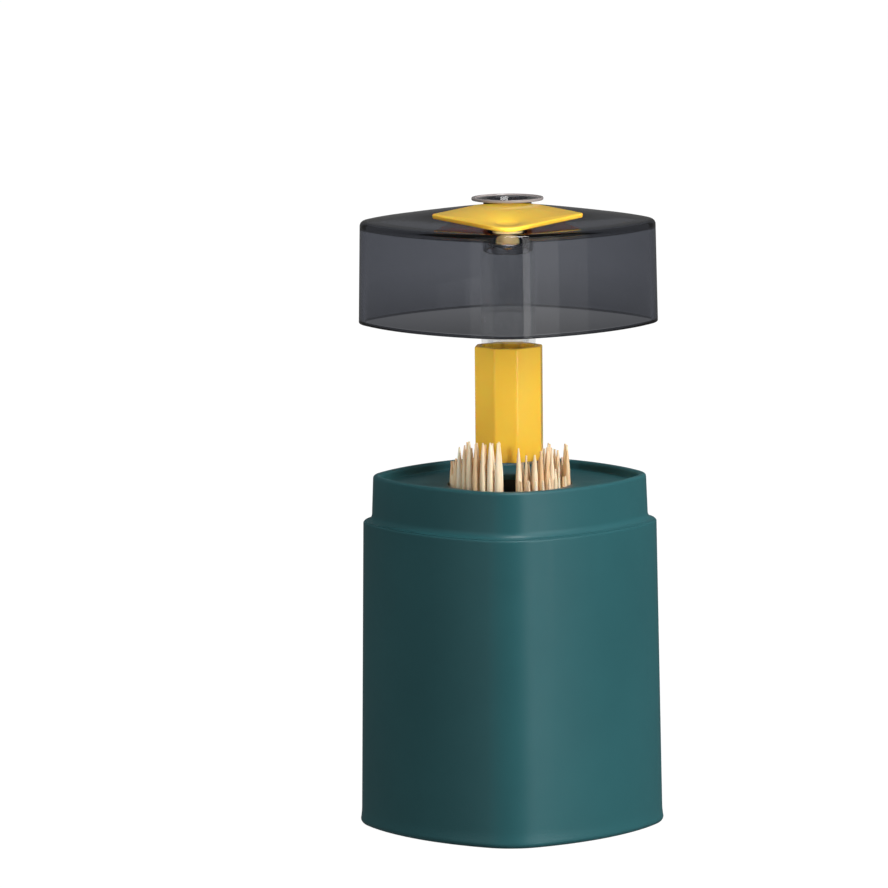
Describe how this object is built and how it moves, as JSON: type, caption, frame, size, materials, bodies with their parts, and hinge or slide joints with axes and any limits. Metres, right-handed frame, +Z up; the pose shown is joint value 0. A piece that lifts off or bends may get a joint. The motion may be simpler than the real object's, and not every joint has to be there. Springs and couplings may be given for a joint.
{
  "type": "toothpick dispenser",
  "caption": "Rounded-square toothpick holder with a round well, a lift-off smoked cap carrying an octagonal core, and a swinging cover over a single-pick outlet.",
  "frame": {"origin": "centre of the underside, on the table", "axes": "+Z up; -Y towards the rounded corner that faces the viewer"},
  "size_m": [0.076, 0.076, 0.1575],
  "materials": {
    "green_plastic": "satin",
    "dark_plastic": "matte",
    "pick_wood": "bare",
    "smoked_clear": "polished, smoked",
    "clear_plastic": "polished, clear",
    "dark_clear": "polished, dark smoked",
    "yellow_plastic": "gloss",
    "cream_plastic": "gloss",
    "steel": "plated",
    "brass": "plated"
  },
  "bodies": {
    "holder": {"base_plate": "green_plastic", "casing": "green_plastic", "neck_insert": "green_plastic", "pick_cup": "dark_plastic", "toothpicks_left": "pick_wood", "toothpicks_right": "pick_wood"},
    "cap": {"cap_shell": "smoked_clear", "core_tube": "clear_plastic", "core_sleeve": "yellow_plastic", "core_cap": "dark_clear"},
    "cover": {"cover_plate": "yellow_plastic", "pivot_pin": "cream_plastic", "pivot_washer": "steel", "pivot_screw": "brass"}
  },
  "joints": [
    {"name": "cap_lift", "type": "slide", "parent": "holder", "child": "cap", "axis": [0, 0, 1], "range_m": [-0.0495, 0.012]},
    {"name": "cover_swing", "type": "hinge", "parent": "cap", "child": "cover", "pos_m": [0, -0.0302, 0.1531], "axis": [0, -0.1045, 0.9945], "range_deg": [-90, 90]}
  ]
}
